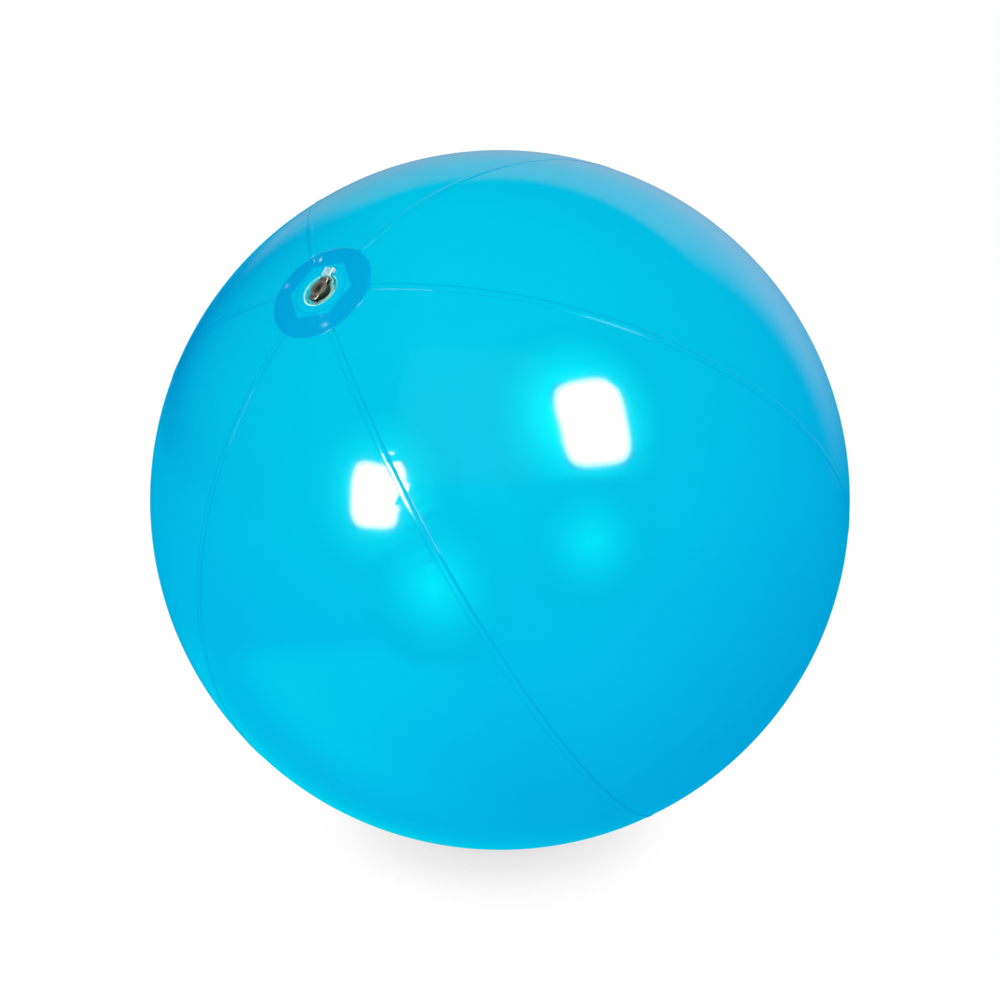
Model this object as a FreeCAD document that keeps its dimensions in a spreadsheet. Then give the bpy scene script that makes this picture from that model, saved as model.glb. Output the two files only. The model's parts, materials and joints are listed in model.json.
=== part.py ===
import FreeCAD, Part
import math
import os

import Sketcher

# Inflatable beach ball: six welded film gores, two cover discs and a soft push-in valve.
#
# Row frame: +Z up, millimetres. The origin is the point where the inflated ball touches the
# ground, so the ball's centre is one radius above it.
#
# Polar frame: every sub-part is drawn with the ball's centre at the origin and the valve on +Z.
# One placement then tips the valve pole from straight up towards -Y and lifts the ball onto the
# ground.

doc = FreeCAD.newDocument("beach_ball")

# --- driving dimensions -----------------------------------------------------------------------

DIMENSIONS = [
    # alias, millimetres or degrees or a plain count
    ("ball_radius", 180.0),
    ("film_thickness", 0.25),
    ("gore_count", 6),
    ("first_seam_angle", 10.6),
    ("pole_tilt", 50.0),
    ("tip_cut", 13.8),
    ("lap_over", 2.6),
    ("lap_under", 0.6),
    ("disc_radius", 23.8),
    ("disc_hole_radius", 8.7),
    ("disc_clearance", 0.2),
    ("flange_radius", 12.1),
    ("flange_thickness", 0.8),
    ("cup_radius", 8.3),
    ("cup_wall", 0.6),
    ("cup_top_drop", 0.35),
    ("cup_depth", 12.6),
    ("stem_radius", 4.8),
    ("stem_bore_radius", 3.5),
    ("stem_depth", 13.4),
    ("stem_clearance", 0.05),
    ("lip_radius", 7.5),
    ("lip_drop", 3.25),
    ("lip_thickness", 1.0),
    ("plug_gap", 0.05),
    ("skirt_radius", 5.6),
    ("skirt_thickness", 0.8),
    ("boss_radius", 4.0),
    ("boss_height", 3.9),
    ("boss_fillet", 0.4),
    ("dimple_radius", 2.9),
    ("dimple_depth", 0.35),
    ("pit_radius", 0.9),
    ("pit_depth", 0.7),
    ("grip_length", 11.6),
    ("grip_width", 4.6),
    ("grip_height", 1.9),
    ("grip_drop", 0.25),
    ("grip_corner", 1.0),
    ("shaft_top_radius", 3.45),
    ("shaft_end_radius", 3.2),
    ("shaft_length", 6.0),
    ("strap_width", 4.8),
    ("strap_thickness", 0.5),
    ("strap_eyelet_radius", 5.9),
    ("strap_gap", 0.1),
    ("strap_rise_radius", 6.6),
    ("strap_reach", 10.95),
    ("strap_foot_start", 9.1),
    ("strap_foot_lift", 0.3),
    ("strap_top_lift", 1.45),
    ("strap_bend_radius", 0.45),
    ("strap_angle", 85.0),
    ("flap_radius", 4.4),
    ("flap_thickness", 0.4),
    ("flap_gap", 0.1),
    ("flap_bead_radius", 0.25),
    ("flap_hinge_offset", 4.2),
]

sheet = doc.addObject("Spreadsheet::Sheet", "dimensions")
for row, (alias, value) in enumerate(DIMENSIONS, start=1):
    sheet.set("A%d" % row, alias)
    sheet.set("B%d" % row, str(value))
    sheet.setAlias("B%d" % row, alias)
doc.recompute()


def cell(alias):
    """Return the expression text that reads one aliased cell."""
    return "dimensions." + alias


def size(alias):
    """Return one driving dimension as a number."""
    return float(sheet.get(alias))


def sheet_value(expression):
    """Work out an outline expression on the sheet as a number."""
    return float(sheet.evalExpression(expression.replace("dimensions.", "")))


def bound(kind, name, **expressions):
    """Add a Part primitive whose properties follow expressions on the sheet."""
    item = doc.addObject(kind, name)
    for prop, expression in expressions.items():
        item.setExpression(prop.replace("__", "."), expression)
    return item


def combined(kind, name, base, tool):
    """Add a boolean of two objects: Part::Cut, Part::Common or Part::Fuse."""
    item = doc.addObject(kind, name)
    item.Base = base
    item.Tool = tool
    return item


# --- the ball's place in the row frame ---------------------------------------------------------

BALL_PLACE = FreeCAD.Placement(
    FreeCAD.Vector(0, 0, size("ball_radius")),
    FreeCAD.Rotation(FreeCAD.Vector(1, 0, 0), size("pole_tilt")),
)

sub_parts = []


def keep(item, label, place=BALL_PLACE):
    """Name a finished sub-part, place it in the row frame and list it for export."""
    item.Label = label
    item.Placement = place
    sub_parts.append(item)
    return item


# --- film: gores and cover discs ---------------------------------------------------------------

R = cell("ball_radius")
FILM = cell("film_thickness")
GORE_ANGLE = "360 / " + cell("gore_count")
TIP_CUT = cell("tip_cut")


def film_wedge(name, inner, outer):
    """A pole-to-pole wedge of film, one gore wide, between two radii."""
    solid = bound("Part::Sphere", name + "_outer", Radius=outer, Angle3=GORE_ANGLE)
    void = bound("Part::Sphere", name + "_inner", Radius=inner, Angle3=GORE_ANGLE)
    return combined("Part::Cut", name, solid, void)


def gore(number):
    """One gore: its panel with straight-cut tips, and the lap strip over the next gore.

    The panel runs from azimuth 0 to one gore's angle, so its middle is at half that angle.
    """
    name = "gore_%d" % number
    panel = film_wedge(name + "_panel", R + " - " + FILM, R)

    # Both tips end on one plane, square to the gore's middle line.
    trim = bound(
        "Part::Box", name + "_trim",
        Length=R, Width="2 * " + R, Height="3 * " + R,
        Placement__Base__x="{0} * cos({1} / 2) + {2} * sin({1} / 2)".format(TIP_CUT, GORE_ANGLE, R),
        Placement__Base__y="{0} * sin({1} / 2) - {2} * cos({1} / 2)".format(TIP_CUT, GORE_ANGLE, R),
        Placement__Base__z="-1.5 * " + R,
        Placement__Rotation__Angle=GORE_ANGLE + " / 2",
    )
    panel = combined("Part::Common", name + "_trimmed", panel, trim)

    # The lap is a band of constant width along the seam at azimuth 0. It reaches a little over
    # its own gore, where it is one piece with the panel, and further over the neighbour.
    skin = combined(
        "Part::Cut", name + "_lap_skin",
        bound("Part::Sphere", name + "_lap_outer", Radius=R + " + " + FILM),
        bound("Part::Sphere", name + "_lap_inner", Radius=R),
    )
    band = bound(
        "Part::Box", name + "_lap_band",
        Length=R, Width=cell("lap_over") + " + " + cell("lap_under"), Height="3 * " + R,
        Placement__Base__x=cell("disc_radius") + " + " + cell("disc_clearance"),
        Placement__Base__y="-" + cell("lap_over"),
        Placement__Base__z="-1.5 * " + R,
    )
    lap = combined("Part::Common", name + "_lap", skin, band)
    whole = combined("Part::Fuse", name, panel, lap)

    turn = FreeCAD.Rotation(
        FreeCAD.Vector(0, 0, 1),
        size("first_seam_angle") + (number - 1) * 360.0 / size("gore_count"),
    )
    place = BALL_PLACE.multiply(FreeCAD.Placement(FreeCAD.Vector(), turn))
    return keep(whole, "gore_panel_%d" % number, place)


def cap_shell(name, inner, outer, rim, hole=None):
    """A round piece of spherical shell at the +Z pole, with a square-cut rim and hole."""
    skin = combined(
        "Part::Cut", name + "_skin",
        bound("Part::Sphere", name + "_outer", Radius=outer),
        bound("Part::Sphere", name + "_inner", Radius=inner),
    )
    punch = bound("Part::Cylinder", name + "_rim", Radius=rim, Height="2 * " + R)
    if hole:
        drill = bound("Part::Cylinder", name + "_hole", Radius=hole, Height="2 * " + R)
        punch = combined("Part::Cut", name + "_punch", punch, drill)
    return combined("Part::Common", name, skin, punch)


for gore_number in range(1, int(size("gore_count")) + 1):
    gore(gore_number)

keep(
    cap_shell("valve_disc", R, R + " + " + FILM, cell("disc_radius"), cell("disc_hole_radius")),
    "valve_disc",
)
keep(
    cap_shell("base_disc", R, R + " + " + FILM, cell("disc_radius")),
    "base_disc",
    BALL_PLACE.multiply(FreeCAD.Placement(
        FreeCAD.Vector(), FreeCAD.Rotation(FreeCAD.Vector(1, 0, 0), 180))),
)

# --- valve: turned shapes about the pole axis --------------------------------------------------

keep(
    cap_shell("valve_flange", R + " - " + cell("flange_thickness"), R,
              cell("flange_radius"), cell("cup_radius")),
    "valve_flange",
)


def turned_body(name, outline):
    """A PartDesign body turned about +Z from an outline of (radius, height) expressions."""
    body = doc.addObject("PartDesign::Body", name)
    plane = [f for f in body.Origin.OriginFeatures if f.Role == "XZ_Plane"][0]
    sketch = body.newObject("Sketcher::SketchObject", name + "_outline")
    sketch.AttachmentSupport = [(plane, "")]
    sketch.MapMode = "FlatFace"

    # The lines are laid roughly in place first; the constraints then hold them exactly.
    rough = [
        (abs(sheet_value(radius)), sheet_value(height))
        for radius, height in outline
    ]
    count = len(rough)
    for i in range(count):
        a = FreeCAD.Vector(rough[i][0], rough[i][1], 0)
        b = FreeCAD.Vector(rough[(i + 1) % count][0], rough[(i + 1) % count][1], 0)
        sketch.addGeometry(Part.LineSegment(a, b), False)
    for i in range(count):
        sketch.addConstraint(Sketcher.Constraint("Coincident", i, 2, (i + 1) % count, 1))
    for i, (radius, height) in enumerate(outline):
        if radius == "0":
            sketch.addConstraint(Sketcher.Constraint("PointOnObject", i, 1, -2))
        else:
            index = sketch.addConstraint(
                Sketcher.Constraint("DistanceX", -1, 1, i, 1, rough[i][0]))
            sketch.setExpression("Constraints[%d]" % index, radius)
        index = sketch.addConstraint(
            Sketcher.Constraint("DistanceY", -1, 1, i, 1, rough[i][1]))
        sketch.setExpression("Constraints[%d]" % index, height)

    turned = body.newObject("PartDesign::Revolution", name + "_turned")
    turned.Profile = sketch
    turned.ReferenceAxis = (sketch, ["V_Axis"])
    turned.Angle = 360.0
    doc.recompute()
    return body


LIP_TOP = R + " - " + cell("lip_drop")
LIP_UNDER = LIP_TOP + " - " + cell("lip_thickness")
STEM_END = R + " - " + cell("stem_depth")
CUP_TOP = R + " - " + cell("cup_top_drop")
CUP_BOTTOM = R + " - " + cell("cup_depth")
CUP_FLOOR = CUP_BOTTOM + " + " + cell("cup_wall")
CUP_INNER = cell("cup_radius") + " - " + cell("cup_wall")
WEB_INNER = cell("stem_radius") + " + " + cell("stem_clearance")
SKIRT_UNDER = LIP_TOP + " + " + cell("plug_gap")
SKIRT_TOP = SKIRT_UNDER + " + " + cell("skirt_thickness")
BOSS_TOP = SKIRT_TOP + " + " + cell("boss_height")
SHAFT_END = SKIRT_UNDER + " - " + cell("shaft_length")
DIMPLE_FLOOR = BOSS_TOP + " - " + cell("dimple_depth")
PIT_FLOOR = BOSS_TOP + " - " + cell("pit_depth")
GRIP_FLOOR = BOSS_TOP + " - " + cell("grip_drop") + " - " + cell("grip_height")

# Soft folding wall: a cup round the stem, joined to the stem by a thin web at its floor.
keep(
    turned_body("valve_diaphragm", [
        (WEB_INNER, CUP_BOTTOM),
        (cell("cup_radius"), CUP_BOTTOM),
        (cell("cup_radius"), CUP_TOP),
        (CUP_INNER, CUP_TOP),
        (CUP_INNER, CUP_FLOOR),
        (WEB_INNER, CUP_FLOOR),
    ]),
    "valve_diaphragm",
)

# Stem: the tube that is blown into, with a flat lip round its mouth.
keep(
    turned_body("valve_stem", [
        (cell("stem_bore_radius"), STEM_END),
        (cell("stem_radius"), STEM_END),
        (cell("stem_radius"), LIP_UNDER),
        (cell("lip_radius"), LIP_UNDER),
        (cell("lip_radius"), LIP_TOP),
        (cell("stem_bore_radius"), LIP_TOP),
    ]),
    "valve_stem",
)


# Along a strap and along the plug's grip, +X is turned to the strap's own azimuth.
STRAP_PLACE = BALL_PLACE.multiply(FreeCAD.Placement(
    FreeCAD.Vector(), FreeCAD.Rotation(FreeCAD.Vector(0, 0, 1), size("strap_angle"))))


# Plug: tapered shaft in the bore, skirt on the lip, round boss and a bar across it to grip.
def plug():
    body = turned_body("plug_core", [
        ("0", SHAFT_END),
        (cell("shaft_end_radius"), SHAFT_END),
        (cell("shaft_top_radius"), SKIRT_UNDER),
        (cell("skirt_radius"), SKIRT_UNDER),
        (cell("skirt_radius"), SKIRT_TOP),
        (cell("boss_radius"), SKIRT_TOP),
        (cell("boss_radius"), BOSS_TOP),
        (cell("dimple_radius"), BOSS_TOP),
        (cell("dimple_radius"), DIMPLE_FLOOR),
        (cell("pit_radius"), DIMPLE_FLOOR),
        (cell("pit_radius"), PIT_FLOOR),
        ("0", PIT_FLOOR),
    ])
    base = body.Tip
    top_height = sheet_value(BOSS_TOP)
    rim_radius = size("boss_radius")
    close_enough = 0.01
    rim_edge = None
    for number, edge in enumerate(base.Shape.Edges, start=1):
        curve = edge.Curve
        if not isinstance(curve, Part.Circle):
            continue
        at_rim = abs(curve.Radius - rim_radius) < close_enough
        at_top = abs(curve.Center.z - top_height) < close_enough
        if at_rim and at_top:
            rim_edge = "Edge%d" % number
    fillet = body.newObject("PartDesign::Fillet", "boss_rim")
    fillet.Base = (base, [rim_edge])
    fillet.setExpression("Radius", cell("boss_fillet"))
    body.Tip = fillet

    # The bar, with its four upright edges rounded and the boss's dimple kept clear of it.
    block = bound(
        "Part::Box", "grip_block",
        Length=cell("grip_length"), Width=cell("grip_width"), Height=cell("grip_height"),
        Placement__Base__x="-0.5 * " + cell("grip_length"),
        Placement__Base__y="-0.5 * " + cell("grip_width"),
        Placement__Base__z=GRIP_FLOOR,
    )
    doc.recompute()
    upright = [
        (number, size("grip_corner"), size("grip_corner"))
        for number, edge in enumerate(block.Shape.Edges, start=1)
        if abs(edge.tangentAt(edge.FirstParameter).z) > 1.0 - close_enough
    ]
    bar = doc.addObject("Part::Fillet", "grip_bar")
    bar.Base = block
    bar.Edges = upright
    dimple = bound(
        "Part::Cylinder", "dimple_clearance",
        Radius=cell("dimple_radius"), Height=cell("grip_height"),
        Placement__Base__z=DIMPLE_FLOOR,
    )
    pit = bound(
        "Part::Cylinder", "pit_clearance",
        Radius=cell("pit_radius"), Height=cell("grip_height"),
        Placement__Base__z=PIT_FLOOR,
    )
    open_bar = combined(
        "Part::Cut", "grip_open", combined("Part::Cut", "grip_dimpled", bar, dimple), pit)
    return combined("Part::Fuse", "valve_plug", body, open_bar)


keep(plug(), "valve_plug", STRAP_PLACE)


# --- strap: eyelet round the plug's neck, and a band that folds over to its weld on the disc ------

def sideways(direction):
    """The unit vector to the left of a direction in the XZ plane."""
    return FreeCAD.Vector(-direction.z, 0, direction.x).normalize()


def bent_line(corners, bend, offset):
    """Edges of a line through corners with round bends, all moved to the left by an offset."""
    edges = []
    start = corners[0] + sideways(corners[1] - corners[0]) * offset
    for before, corner, after in zip(corners, corners[1:], corners[2:]):
        come = FreeCAD.Vector(corner - before).normalize()
        leave = FreeCAD.Vector(after - corner).normalize()
        reach = bend * math.tan(come.getAngle(leave) / 2)
        side = 1 if come.x * leave.z > come.z * leave.x else -1
        first = corner - come * reach
        last = corner + leave * reach
        centre = first + sideways(come) * bend * side
        outward = FreeCAD.Vector(corner - centre).normalize()
        arc_start = first + sideways(come) * offset
        arc_end = last + sideways(leave) * offset
        edges.append(Part.LineSegment(start, arc_start).toShape())
        arc_middle = centre + outward * (bend - side * offset)
        edges.append(Part.Arc(arc_start, arc_middle, arc_end).toShape())
        start = arc_end
    end = corners[-1] + sideways(corners[-1] - corners[-2]) * offset
    edges.append(Part.LineSegment(start, end).toShape())
    return edges


def strap():
    """A flat band with a round eyelet, drawn along +X and turned to its own azimuth.

    The eyelet lies round the plug's neck, between the skirt and the grip bar. From it the band
    rises out of the well, runs outward and folds back under itself to its weld on the disc, so
    that it can unfold when the plug is pulled.
    """
    thick = size("strap_thickness")
    half_width = size("strap_width") / 2
    eyelet_floor = sheet_value(SKIRT_TOP) + size("strap_gap")
    hole_radius = size("boss_radius") + size("strap_gap")
    eyelet = Part.makeCylinder(
        size("strap_eyelet_radius"), thick, FreeCAD.Vector(0, 0, eyelet_floor))
    hole = Part.makeCylinder(hole_radius, thick, FreeCAD.Vector(0, 0, eyelet_floor))

    eyelet_height = eyelet_floor + thick / 2
    top_height = size("ball_radius") + size("strap_top_lift")
    foot_height = size("ball_radius") + size("strap_foot_lift")
    rise = size("strap_rise_radius")
    fold = size("strap_reach") - thick / 2
    corners = [
        FreeCAD.Vector(hole_radius + thick, 0, eyelet_height),
        FreeCAD.Vector(rise, 0, eyelet_height),
        FreeCAD.Vector(rise, 0, top_height),
        FreeCAD.Vector(fold, 0, top_height),
        FreeCAD.Vector(fold, 0, foot_height),
        FreeCAD.Vector(size("strap_foot_start"), 0, foot_height),
    ]
    bend = size("strap_bend_radius")
    left = bent_line(corners, bend, thick / 2)
    right = bent_line(corners, bend, -thick / 2)
    ends = [
        Part.LineSegment(one.Vertexes[place].Point, other.Vertexes[place].Point).toShape()
        for one, other, place in ((left[0], right[0], 0), (left[-1], right[-1], -1))
    ]
    wire = Part.Wire(Part.__sortEdges__(left + right + ends))
    face = Part.Face(wire)
    face.translate(FreeCAD.Vector(0, -half_width, 0))
    band = face.extrude(FreeCAD.Vector(0, 2 * half_width, 0))
    item = doc.addObject("Part::Feature", "plug_strap")
    item.Shape = eyelet.fuse(band).cut(hole).removeSplitter()
    return keep(item, "plug_strap", STRAP_PLACE)


strap()


# --- one-way flap under the stem -----------------------------------------------------------------

def flap():
    """A thin round flap with a hinge bead across one edge, just below the stem's inner end."""
    top = STEM_END + " - " + cell("flap_gap")
    disc = bound(
        "Part::Cylinder", "flap_disc",
        Radius=cell("flap_radius"), Height=cell("flap_thickness"),
        Placement__Base__z=top + " - " + cell("flap_thickness"),
    )
    bead = bound(
        "Part::Cylinder", "flap_bead",
        Radius=cell("flap_bead_radius"), Height="0.5 * " + cell("flap_radius"),
        Placement__Base__x=cell("flap_hinge_offset"),
        Placement__Base__y="0.25 * " + cell("flap_radius"),
        Placement__Base__z=top + " - " + cell("flap_thickness") + " / 2",
    )
    bead.Placement = FreeCAD.Placement(
        bead.Placement.Base, FreeCAD.Rotation(FreeCAD.Vector(1, 0, 0), 90))
    return keep(combined("Part::Fuse", "check_flap", disc, bead), "check_flap")


flap()

# --- check and export ------------------------------------------------------------------------------

doc.recompute()

for item in doc.Objects:
    for problem in ("Invalid", "Error"):
        if problem in item.State:
            raise RuntimeError("%s is %s" % (item.Label, problem))

for item in sub_parts:
    shape = item.Shape
    if shape.isNull() or not shape.isValid():
        raise RuntimeError("%s has no valid shape" % item.Label)
    if len(shape.Solids) != 1:
        raise RuntimeError("%s has %d solids" % (item.Label, len(shape.Solids)))

os.makedirs("parts", exist_ok=True)
total = 0.0
for item in sub_parts:
    item.Shape.exportStep("parts/%s.step" % item.Label)
    total += item.Shape.Volume
    print("%-16s volume %10.1f mm3, lowest %8.3f mm" % (
        item.Label, item.Shape.Volume, item.Shape.BoundBox.ZMin))
print("film, valve and plug together: %.1f cm3" % (total / 1000.0))
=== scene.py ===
import json
import math

import bpy
import numpy as np
from mathutils import Matrix, Vector

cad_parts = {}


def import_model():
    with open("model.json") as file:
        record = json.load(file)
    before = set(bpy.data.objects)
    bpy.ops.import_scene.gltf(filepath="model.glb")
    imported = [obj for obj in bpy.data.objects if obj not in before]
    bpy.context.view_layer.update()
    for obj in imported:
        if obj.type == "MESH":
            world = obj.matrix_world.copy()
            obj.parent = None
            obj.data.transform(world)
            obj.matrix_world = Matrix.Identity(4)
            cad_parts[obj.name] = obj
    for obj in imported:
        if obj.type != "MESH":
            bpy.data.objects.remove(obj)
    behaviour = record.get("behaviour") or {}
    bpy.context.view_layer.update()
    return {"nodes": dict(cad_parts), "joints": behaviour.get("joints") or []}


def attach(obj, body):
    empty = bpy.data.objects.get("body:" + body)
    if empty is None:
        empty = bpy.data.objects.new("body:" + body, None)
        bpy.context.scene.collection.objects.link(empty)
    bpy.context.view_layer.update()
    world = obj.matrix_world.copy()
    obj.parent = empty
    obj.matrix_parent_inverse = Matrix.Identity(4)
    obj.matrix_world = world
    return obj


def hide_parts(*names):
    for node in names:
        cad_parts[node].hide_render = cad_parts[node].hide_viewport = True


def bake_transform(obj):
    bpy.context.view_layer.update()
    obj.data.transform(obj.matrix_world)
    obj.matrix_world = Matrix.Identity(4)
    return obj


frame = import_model()

# Inflatable beach ball: the welded film, the push-in valve, and the studio round them.
#
# Polar frame: the ball's centre is the origin and the valve is on +Z. Every piece is worked out
# there, in metres, and polar_to_row() puts it in the row frame.

MM = 0.001

# --- sizes, as in the CAD model ------------------------------------------------------------------

BALL_RADIUS = 180.0 * MM
FILM = 0.25 * MM
GORE_COUNT = 6
GORE_ANGLE = math.tau / GORE_COUNT
FIRST_SEAM = math.radians(10.6)
TIP_CUT = 13.8 * MM
LAP_OVER = 2.6 * MM
LAP_UNDER = 0.6 * MM
DISC_RADIUS = 23.8 * MM
DISC_HOLE = 8.7 * MM
LAP_START = DISC_RADIUS + 0.2 * MM
FLANGE_RADIUS = 12.1 * MM

LIP_TOP = BALL_RADIUS - 3.25 * MM
LIP_UNDER = LIP_TOP - 1.0 * MM
LIP_RADIUS = 7.5 * MM
STEM_RADIUS = 4.8 * MM
STEM_BORE = 3.5 * MM
STEM_END = BALL_RADIUS - 13.4 * MM
CUP_RADIUS = 8.3 * MM
CUP_WALL = 0.6 * MM
CUP_TOP = BALL_RADIUS - 0.35 * MM
CUP_BOTTOM = BALL_RADIUS - 12.6 * MM
SKIRT_UNDER = LIP_TOP + 0.05 * MM
SKIRT_TOP = SKIRT_UNDER + 0.8 * MM
SKIRT_RADIUS = 5.6 * MM
BOSS_RADIUS = 4.0 * MM
BOSS_TOP = SKIRT_TOP + 3.9 * MM
GRIP_LENGTH = 11.6 * MM
GRIP_WIDTH = 4.6 * MM
GRIP_TOP = BOSS_TOP - 0.25 * MM
GRIP_FLOOR = GRIP_TOP - 1.9 * MM
GRIP_CORNER = 1.0 * MM
SHAFT_LENGTH = 6.0 * MM
SHAFT_END_RADIUS = 3.2 * MM
SHAFT_TOP_RADIUS = 3.45 * MM
STRAP_ANGLE = math.radians(85.0)
STRAP_WIDTH = 4.8 * MM
STRAP_THICKNESS = 0.5 * MM
STRAP_RISE = 6.6 * MM
STRAP_REACH = 10.95 * MM
STRAP_FOOT = 9.1 * MM
STRAP_FOOT_HEIGHT = BALL_RADIUS + 0.3 * MM
STRAP_TOP_HEIGHT = BALL_RADIUS + 1.45 * MM
STRAP_BEND = 0.45 * MM
EYELET_RADIUS = 5.9 * MM
EYELET_FLOOR = SKIRT_TOP + 0.1 * MM

# A welded layer floats this far off the one under it, so the two surfaces never coincide.
WELD_GAP = 0.03 * MM

joints = {joint["name"]: joint for joint in frame["joints"]}
POLE = Vector(joints["stem_push"]["axis"]).normalized()
TILT = math.atan2(-POLE.y, POLE.z)
CENTRE = Vector((0, 0, BALL_RADIUS))
POLAR_TO_ROW = Matrix.Translation(CENTRE) @ Matrix.Rotation(TILT, 4, "X")


def polar_to_row(points):
    """Turn an array of points from the polar frame into the row frame."""
    matrix = np.array(POLAR_TO_ROW)
    return points @ matrix[:3, :3].T + matrix[:3, 3]


def smooth_step(value, low, high):
    """0 below low, 1 above high, smooth between."""
    ratio = np.clip((value - low) / (high - low), 0.0, 1.0)
    return ratio * ratio * (3.0 - 2.0 * ratio)


# --- the shape of the inflated film --------------------------------------------------------------

def ripple(along, wavelength, seed):
    """A wavy line of uneven wavelength, between -1 and 1, for distances along a seam."""
    phase = seed * 2.399
    wander = 1.7 * np.sin(along / (wavelength * 5.3) + phase) + 1.1 * np.sin(
        along / (wavelength * 2.9) + 2.0 * phase)
    return np.sin(math.tau * along / wavelength + wander + phase)


def patches(along, spacing, seed):
    """Mostly 0, rising to 1 in uneven patches, for distances along a seam."""
    phase = seed * 1.618
    level = (
        np.sin(math.tau * along / spacing + phase)
        + 0.7 * np.sin(math.tau * along / (spacing * 0.43) + 2.3 * phase)
        + 0.5 * np.sin(math.tau * along / (spacing * 0.19) + 4.1 * phase))
    return smooth_step(level, 0.0, 1.5)


def gentle_waves(points):
    """Long soft unevenness of the film, between about -1 and 1."""
    total = np.zeros(points.shape[:-1])
    for number, (wavelength, share) in enumerate(
            ((61.0, 0.5), (37.0, 0.3), (19.0, 0.14), (11.0, 0.06))):
        for turn in range(3):
            angle = 1.1 * number + 2.1 * turn
            direction = np.array([math.cos(angle), math.sin(angle), math.cos(2.7 * angle)])
            direction = direction / np.linalg.norm(direction)
            total += share / 1.7 * np.sin(
                math.tau / (wavelength * MM) * (points @ direction) + 3.3 * number + 1.9 * turn)
    return total


VALLEY_DEPTH = 0.12 * MM
VALLEY_REACH = 7.0 * MM
PUCKER_HEIGHT = 0.085 * MM
PUCKER_REACH = 6.0 * MM
WAVE_HEIGHT = 0.030 * MM


def film_offset(points):
    """How far the film's outer surface stands off the true sphere, at polar points on it.

    The film pulls in a little along each seam, puckers beside the stiff weld, and has soft
    waves everywhere. Near the poles the cover discs hold it smooth.
    """
    polar_angle = np.arccos(np.clip(points[..., 2] / BALL_RADIUS, -1.0, 1.0))
    along = BALL_RADIUS * polar_angle
    off_axis = np.hypot(points[..., 0], points[..., 1])
    free = smooth_step(off_axis, DISC_RADIUS, 1.7 * DISC_RADIUS)
    total = WAVE_HEIGHT * gentle_waves(points) * (0.35 + 0.65 * free)
    for seam in range(GORE_COUNT):
        azimuth = FIRST_SEAM + seam * GORE_ANGLE
        ahead = points[..., 0] * math.cos(azimuth) + points[..., 1] * math.sin(azimuth)
        across = points[..., 1] * math.cos(azimuth) - points[..., 0] * math.sin(azimuth)
        side = across + (LAP_OVER - LAP_UNDER) / 2
        past_weld = np.maximum(np.abs(side) - (LAP_OVER + LAP_UNDER) / 2, 0.0)
        near = (ahead > 0) * np.exp(-np.abs(past_weld) / VALLEY_REACH)
        total -= VALLEY_DEPTH * near * free
        seed = 2 * seam + (side > 0)
        fold = ripple(along, 5.6 * MM, seed) + 0.5 * ripple(along, 9.3 * MM, seed + 5)
        rise = smooth_step(past_weld, 0.0, 1.2 * MM)
        fade = (ahead > 0) * np.exp(-past_weld / PUCKER_REACH) * (0.25 + 0.75 * rise)
        total += PUCKER_HEIGHT * fold * patches(along, 71.0 * MM, seed) * fade * free
    return total


# --- mesh building -------------------------------------------------------------------------------

def make_object(name, vertices, faces, tone=None):
    """A smooth-shaded mesh object from row-frame vertices; tone is a number for each vertex."""
    mesh = bpy.data.meshes.new(name)
    mesh.from_pydata([tuple(v) for v in vertices], [], [tuple(int(i) for i in f) for f in faces])
    mesh.update()
    mesh.shade_smooth()
    if tone is not None:
        layer = mesh.attributes.new("tone", "FLOAT", "POINT")
        layer.data.foreach_set("value", np.asarray(tone, dtype=np.float32))
    obj = bpy.data.objects.new(name, mesh)
    bpy.context.scene.collection.objects.link(obj)
    return obj


def grid_faces(rows, columns, start, flip, wrap):
    """Quads of a grid of rows by columns whose first vertex has number start."""
    last = columns if wrap else columns - 1
    row, column = np.meshgrid(np.arange(rows - 1), np.arange(last), indexing="ij")
    after = (column + 1) % columns
    a = start + row * columns + column
    b = start + row * columns + after
    c = start + (row + 1) * columns + after
    d = start + (row + 1) * columns + column
    corners = (a, d, c, b) if flip else (a, b, c, d)
    return np.stack([corner.ravel() for corner in corners], axis=1)


def closed_sheet(outer, inner, wrap=False):
    """Vertices and faces of a thin closed solid between two grids of points."""
    rows, columns = outer.shape[:2]
    count = rows * columns
    vertices = np.concatenate([outer.reshape(-1, 3), inner.reshape(-1, 3)])
    faces = [grid_faces(rows, columns, 0, False, wrap), grid_faces(rows, columns, count, True, wrap)]

    def rim(line, flip):
        """Quads that join one edge of the outer grid to the same edge of the inner one."""
        following = np.roll(line, -1) if wrap else line[1:]
        line = line if wrap else line[:-1]
        quad = (line, line + count, following + count, following)
        if flip:
            quad = quad[::-1]
        faces.append(np.stack(quad, axis=1))

    first_row = np.arange(columns)
    last_row = (rows - 1) * columns + first_row
    rim(first_row, False)
    rim(last_row, True)
    if not wrap:
        quads = []
        first_column = np.arange(rows) * columns
        for line, flip in ((first_column, True), (first_column + columns - 1, False)):
            quad = (line[:-1], line[:-1] + count, line[1:] + count, line[1:])
            quads.append(np.stack(quad[::-1] if flip else quad, axis=1))
        faces.extend(quads)
    return vertices, np.concatenate(faces)


def on_sphere(polar_angle, azimuth):
    """Points of the true sphere from polar angle and azimuth arrays."""
    return BALL_RADIUS * np.stack([
        np.sin(polar_angle) * np.cos(azimuth),
        np.sin(polar_angle) * np.sin(azimuth),
        np.cos(polar_angle)], axis=-1)


def lifted(points, height):
    """Points of the true sphere moved out by a height, given for each point."""
    return points * (1.0 + height / BALL_RADIUS)[..., None]


def crowded(count, share):
    """Numbers from 0 to 1 that crowd towards both ends; share is how much, from 0 to 1."""
    even = np.linspace(0.0, 1.0, count)
    return (1.0 - share) * even + share * (1.0 - np.cos(math.pi * even)) / 2


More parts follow.
